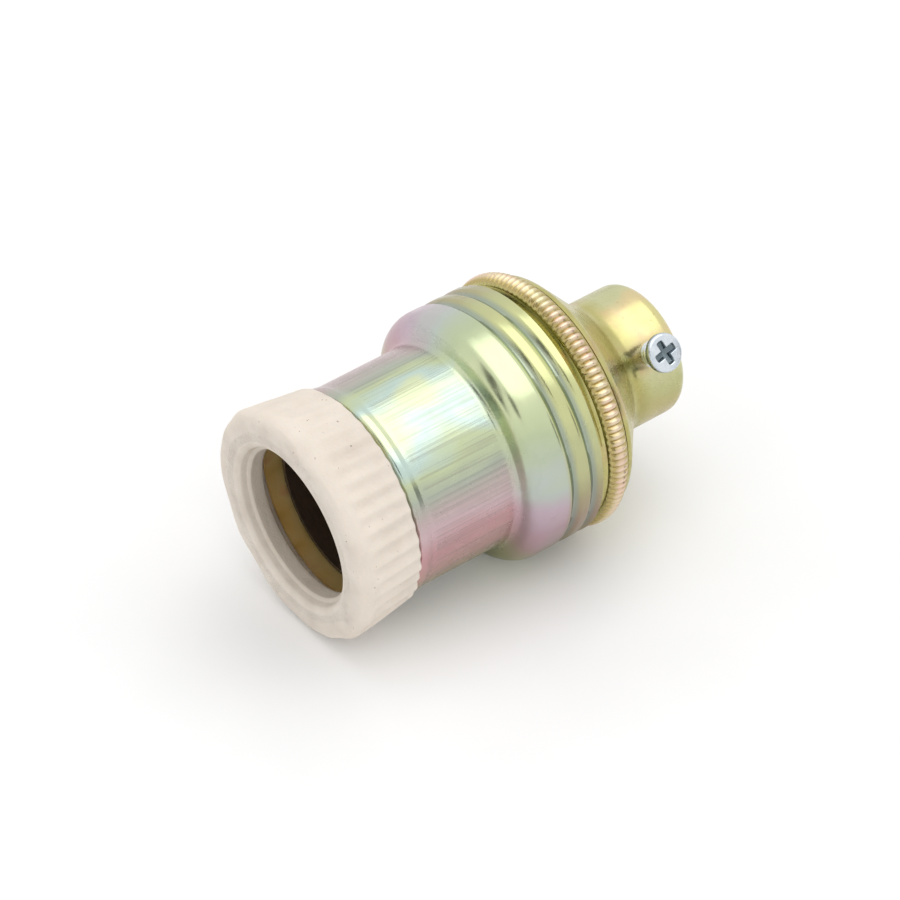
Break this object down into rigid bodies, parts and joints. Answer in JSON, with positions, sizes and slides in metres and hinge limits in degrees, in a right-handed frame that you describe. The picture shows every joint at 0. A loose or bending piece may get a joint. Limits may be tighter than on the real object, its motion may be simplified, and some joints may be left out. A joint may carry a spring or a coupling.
{
  "type": "lamp holder",
  "caption": "Small metal lamp holder with a screw socket, a porcelain ring in front, a screwed shell and cap, and a threaded neck with a set screw",
  "frame": {"origin": "centre of the porcelain ring's flat front face, on which the holder stands", "axes": "+Z along the holder's axis, from the ring up to the threaded neck; the set screw lies between +X and -Y"},
  "size_m": [0.0284, 0.0284, 0.0456],
  "materials": {
    "porcelain": "unglazed cream porcelain, dry and slightly uneven",
    "passivated_steel": "drawn sheet steel, zinc plated and yellow passivated, iridescent",
    "bright_zinc": "bright blue-white zinc plating",
    "brass": "plain pressed brass",
    "spring_bronze": "hard phosphor bronze strip",
    "fibre": "dark brown vulcanised fibre"
  },
  "bodies": {
    "shell": {"shell": "passivated_steel"},
    "ring": {"porcelain_ring": "porcelain"},
    "insert": {"porcelain_insert": "porcelain", "insulating_tube": "fibre", "screw_shell": "brass", "live_rivet": "brass", "neutral_rivet": "brass", "live_plate": "brass", "neutral_plate": "brass"},
    "cap": {"cap": "passivated_steel", "cap_liner": "fibre"},
    "set_screw": {"set_screw": "bright_zinc"},
    "contact": {"centre_contact": "spring_bronze"},
    "live_terminal": {"live_screw": "bright_zinc", "live_washer": "brass"},
    "neutral_terminal": {"neutral_screw": "bright_zinc", "neutral_washer": "brass"}
  },
  "joints": [
    {"name": "cap_turn", "type": "hinge", "parent": "shell", "child": "insert", "pos_m": [0, 0, 0.0248], "axis": [0, 0, 1], "range_deg": [0, 540]},
    {"name": "cap_lift", "type": "slide", "parent": "insert", "child": "cap", "axis": [0, 0, 1], "range_m": [0, 0.0036]},
    {"name": "ring_slide", "type": "slide", "parent": "shell", "child": "ring", "axis": [0, 0, -1], "range_m": [0, 0.0042]},
    {"name": "set_screw_slide", "type": "slide", "parent": "cap", "child": "set_screw", "axis": [0.8329, -0.5534, 0], "range_m": [-0.0008, 0.0018]},
    {"name": "contact_swing", "type": "hinge", "parent": "insert", "child": "contact", "pos_m": [0, 0.0046, 0.02102], "axis": [-1, 0, 0], "range_deg": [0, 6], "stiffness_Nm_per_rad": 0.2},
    {"name": "live_screw_slide", "type": "slide", "parent": "insert", "child": "live_terminal", "axis": [0, 0, 1], "range_m": [0, 0.0018]},
    {"name": "neutral_screw_slide", "type": "slide", "parent": "insert", "child": "neutral_terminal", "axis": [0, 0, 1], "range_m": [0, 0.0018]}
  ],
  "couplings": [
    {"joint": "cap_lift", "follows": "cap_turn", "m_per_rad": 0.00038197}
  ]
}
